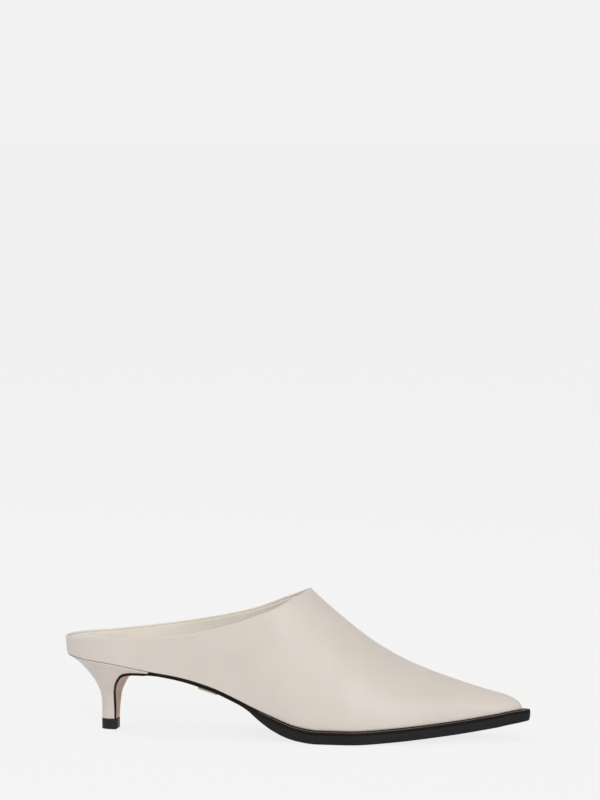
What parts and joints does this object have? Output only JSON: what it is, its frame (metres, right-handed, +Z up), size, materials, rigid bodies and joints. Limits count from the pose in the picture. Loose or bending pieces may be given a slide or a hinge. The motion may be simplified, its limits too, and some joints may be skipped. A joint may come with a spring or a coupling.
{
  "type": "mule shoe",
  "caption": "Right-foot kitten-heel mule: pointed toe, high closed vamp, low rim round the heel seat, covered curved heel and thin black-edged sole.",
  "frame": {"origin": "on the floor, under the middle of the shoe's box", "axes": "+X towards the toe, +Y to the wearer's left (the inner side of this right shoe), +Z up"},
  "size_m": [0.2698, 0.0776, 0.084],
  "materials": {
    "upper_leather": "smooth, semi-matt, warm off-white",
    "insole_leather": "smooth, matt, warm off-white",
    "sole_leather": "smooth natural tan, edges inked black",
    "sole_rubber": "black, satin edge",
    "heel_cover": "smooth, semi-matt, warm off-white",
    "top_piece_rubber": "black, matt",
    "gilt_metal": "polished pale gilt"
  },
  "bodies": {
    "root": {"upper": "upper_leather", "insole": "insole_leather", "outsole": "sole_leather", "forefoot_sole": "sole_rubber", "heel": "heel_cover", "top_piece": "top_piece_rubber", "waist_bar": "gilt_metal"}
  },
  "joints": []
}
